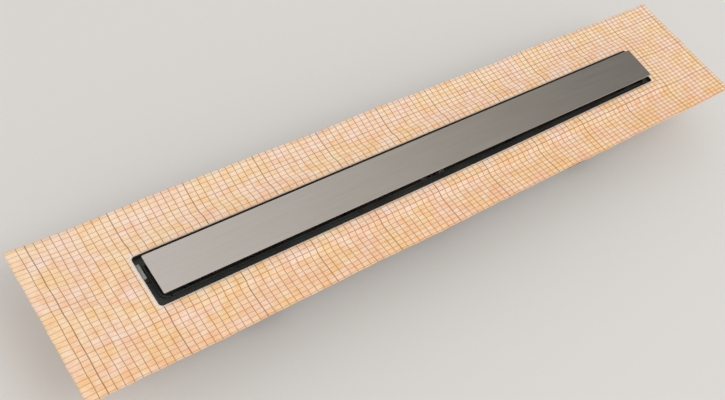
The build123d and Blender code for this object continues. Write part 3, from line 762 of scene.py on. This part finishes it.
# Grey polypropylene: waxy and slightly cloudy. Its grain is drawn coarse enough to show.
grey_polypropylene = moulded("grey polypropylene", grey_dark, grey_light, grain=1.6, rough=0.48, depth=0.04)
tube = placed("dip_tube_moulding", softened("dip_tube", tube_edge), grey_polypropylene)
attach(tube, "root")
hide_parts("dip_tube")


# Dip tube seal: a round-section ring of black rubber in the tube's groove.
# It seals the lift-out trap to the channel's seat.
seal_edge = 0.0001

seal = placed("dip_tube_ring", softened("dip_tube_seal", seal_edge), black_rubber)
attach(seal, "root")
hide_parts("dip_tube_seal")


# Trap cup: the cup that holds the water seal round the end of the dip tube, in the same grey polypropylene.
# Its ring snaps on the tube below the neck, and three struts leave the way over its rim open.
cup_edge = 0.0003

cup = placed("water_cup", softened("trap_cup", cup_edge), grey_polypropylene)
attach(cup, "root")
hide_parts("trap_cup")


# Hair strainer: a pressed stainless disc with radial slots, a low rim and a knob to lift it by.
# It sits loose in the mouth of the dip tube.
strainer_edge = 0.0002
steel_light = "#D2CEC8"
steel_dark = "#CAC6BF"
brush_swing = 0.03
brush_depth = 0.00002


def stainless(name, across, along, rough):
    """Stainless steel with streaks along X in its tone, gloss and height. Their sizes are in millimetres."""
    finish, tree, shader, place = new_finish(name)
    stretch = add(tree, "Mapping", {"Vector": place, "Scale": (across / along, 1, 1)})
    streak = add(tree, "TexNoise", {"Vector": stretch.outputs["Vector"], "Scale": per_metre(across),
                                    "Detail": 4.0, "Roughness": 0.6})
    tint = add(tree, "ValToRGB", {"Fac": streak.outputs["Fac"]}, ((0.3, steel_dark), (0.7, steel_light)))
    gloss = add(tree, "MapRange", {"Value": streak.outputs["Fac"],
                                   "From Min": noise_low, "From Max": noise_high,
                                   "To Min": rough - brush_swing, "To Max": rough + brush_swing})
    relief = add(tree, "Bump", {"Height": streak.outputs["Fac"], "Strength": 0.05, "Distance": brush_depth})
    shader.inputs["Metallic"].default_value = 1.0
    tree.links.new(tint.outputs["Color"], shader.inputs["Base Color"])
    tree.links.new(gloss.outputs["Result"], shader.inputs["Roughness"])
    tree.links.new(relief.outputs["Normal"], shader.inputs["Normal"])
    return finish


# Plain stainless: a bright grey metal with short rub marks.
# The real marks are finer than 0.1 mm, so they are drawn 1 mm apart to show at all.
plain_stainless = stainless("plain stainless steel", across=1.0, along=4.0, rough=0.28)
strainer = placed("strainer_disc", softened("hair_strainer", strainer_edge), plain_stainless)
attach(strainer, "root")
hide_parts("hair_strainer")


# Cover plate: a strip of 2 mm stainless sheet, brushed along its length, with its edges broken by hand.
# It stands on eight levelling feet, so that water runs in through the slot all round it.
plate_corner = 0.0015
plate_top_break = 0.00035
plate_under_break = 0.00015
plate_low, plate_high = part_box("cover_plate")
plate = block(plate_low, plate_high)
uprights = [side for side in plate.edges if abs(side.verts[0].co.z - side.verts[1].co.z) > weld_gap]
bmesh.ops.bevel(plate, geom=uprights, offset=plate_corner, offset_type="OFFSET", affect="EDGES",
                segments=6, profile=0.5, material=-1)
for level, easing in ((plate_high.z, plate_top_break), (plate_low.z, plate_under_break)):
    around = [side for side in plate.edges if all(abs(vert.co.z - level) < weld_gap for vert in side.verts)]
    bmesh.ops.bevel(plate, geom=around, offset=easing, offset_type="OFFSET", affect="EDGES",
                    segments=3, profile=0.5, material=-1)

# Satin stainless: fine lengthwise scratches that draw reflections out sideways.
# Real scratches are about 0.05 mm apart, so they are drawn at 1.1 mm to show at all.
satin_stainless = stainless("satin brushed stainless steel", across=1.1, along=90.0, rough=0.33)
cover = placed("cover_sheet", plate, satin_stainless)
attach(cover, "root")
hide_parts("cover_plate")


# Cover studs: eight M6 stainless weld studs, shot to the underside of the cover.
# Each has a small flare of weld metal at its root.
cover_pitch = 0.001
cover_stud_radius = 0.003
flare_height = 0.0008
# Where the flare bulges, as shares of its radius and its height
bulge_radius = 0.85
bulge_height = 0.6
stud_boxes = solids("cover_weld_studs")
weld_low, weld_high = stud_boxes[0]
flare_radius = (weld_high.x - weld_low.x) / 2
weld_length = weld_high.z - weld_low.z
flare_foot = weld_length - flare_height
weld_stud = threaded_rod(cover_stud_radius, weld_length - flare_height / 2, cover_pitch, steps=16)
flare = spun(((cover_stud_radius / 2, flare_foot), (cover_stud_radius, flare_foot),
              (flare_radius * bulge_radius, weld_length - flare_height * bulge_height),
              (flare_radius, weld_length), (cover_stud_radius / 2, weld_length)), steps=24)
flare_mesh = bpy.data.meshes.new("weld flare")
flare.to_mesh(flare_mesh)
flare.free()
weld_stud.from_mesh(flare_mesh)
bpy.data.meshes.remove(flare_mesh)
repeat(weld_stud, stud_boxes)
cover_studs = placed("cover_stud_set", weld_stud, plain_stainless)
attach(cover_studs, "root")
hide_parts("cover_weld_studs")


# Cover lock nuts: eight M6 stainless hexagon nuts, one on each stud.
# Run down hard on the feet, they hold the height that was set.
lock_nut_width = 0.01
lock_boxes = solids("cover_lock_nuts")
lock_height = lock_boxes[0][1].z - lock_boxes[0][0].z
lock_nut = hex_nut(lock_nut_width, lock_height, cover_stud_radius - cover_pitch / 2)
repeat(lock_nut, lock_boxes)
lock_nuts = placed("cover_nut_set", lock_nut, plain_stainless)
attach(lock_nuts, "root")
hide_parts("cover_lock_nuts")


# Cover feet: eight fluted feet moulded in black polypropylene, threaded on the studs.
# They are turned by hand to level the cover, and stand on the round pads in the channel's floor.
foot_edge = 0.0003
foot_count = 8

for number in range(1, foot_count + 1):
    fluted = softened(f"cover_foot_{number}", foot_edge)
    foot = placed(f"levelling_foot_{number}", fluted, black_polypropylene)
    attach(foot, "root")
    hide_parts(f"cover_foot_{number}")


# Studio: a plain pale floor under the drain, lit by an even pale dome and by one large softbox in front.
# A dark flag, drawn in the dome high beyond the right end, shades what the cover mirrors from left to right.
# The camera stands where the photograph was taken.
floor_half = 25.0
floor_colour = "#DEDDDA"
floor_rough = 0.8
dome_pale = "#F2F0EE"
dome_bright = "#F3EFF1"
flag_fringe = "#D7D2CE"
flag_grey = "#BCB7AE"
flag_black = "#080706"
flag_turn = math.radians(20)
flag_rise = math.radians(32)
flag_reach = math.radians(60)
softbox_size = (2.6, 2.0)
softbox_power = 29
softbox_place = Vector((0.7, -1.7, 3.6))
view_from = Vector((-0.79774, -0.4550, 1.1273))
view_along = Vector((0.51109, 0.33867, -0.79000))
view_roll = math.radians(25.93)
sensor_width = 36
focal_length = 49.22

# Painted studio floor: an even, matt pale grey.
floor = bmesh.new()
bmesh.ops.create_grid(floor, x_segments=1, y_segments=1, size=floor_half)
floor_finish, tree, shader, place = new_finish("pale studio floor")
shader.inputs["Base Color"].default_value = linear(floor_colour)
shader.inputs["Roughness"].default_value = floor_rough
ground = placed("studio_floor", floor, floor_finish)

dome = bpy.data.worlds.new("studio dome")
dome.use_nodes = True
sky = dome.node_tree
flag_towards = (math.cos(flag_rise) * math.cos(flag_turn), math.cos(flag_rise) * math.sin(flag_turn),
                math.sin(flag_rise))
towards = add(sky, "VectorMath", {0: add(sky, "TexCoord").outputs["Generated"], 1: flag_towards},
              operation="DOT_PRODUCT")
shade = add(sky, "MapRange", {"Value": towards.outputs["Value"], "From Min": math.cos(flag_reach),
                              "From Max": 1.0})
glow = add(sky, "ValToRGB", {"Fac": shade.outputs["Result"]}, (
    (0.0, dome_pale), (0.60, dome_bright), (0.76, flag_fringe), (0.88, flag_grey), (1.0, flag_black)))
sky.links.new(glow.outputs["Color"], sky.nodes["Background"].inputs["Color"])
bpy.context.scene.world = dome

softbox_data = bpy.data.lights.new("softbox", "AREA")
softbox_data.shape = "RECTANGLE"
softbox_data.size, softbox_data.size_y = softbox_size
softbox_data.energy = softbox_power
softbox = bpy.data.objects.new("softbox", softbox_data)
softbox.location = softbox_place
softbox.rotation_euler = (-softbox_place).to_track_quat("-Z", "Y").to_euler()
bpy.context.scene.collection.objects.link(softbox)

camera_data = bpy.data.cameras.new("camera")
camera_data.sensor_fit = "HORIZONTAL"
camera_data.sensor_width = sensor_width
camera_data.lens = focal_length
camera = bpy.data.objects.new("camera", camera_data)
camera.location = view_from
aimed = view_along.to_track_quat("-Z", "Y").to_matrix()
camera.rotation_euler = (aimed @ Matrix.Rotation(view_roll, 3, "Z")).to_euler()
bpy.context.scene.collection.objects.link(camera)
bpy.context.scene.camera = camera
bpy.context.scene.view_settings.view_transform = "Standard"
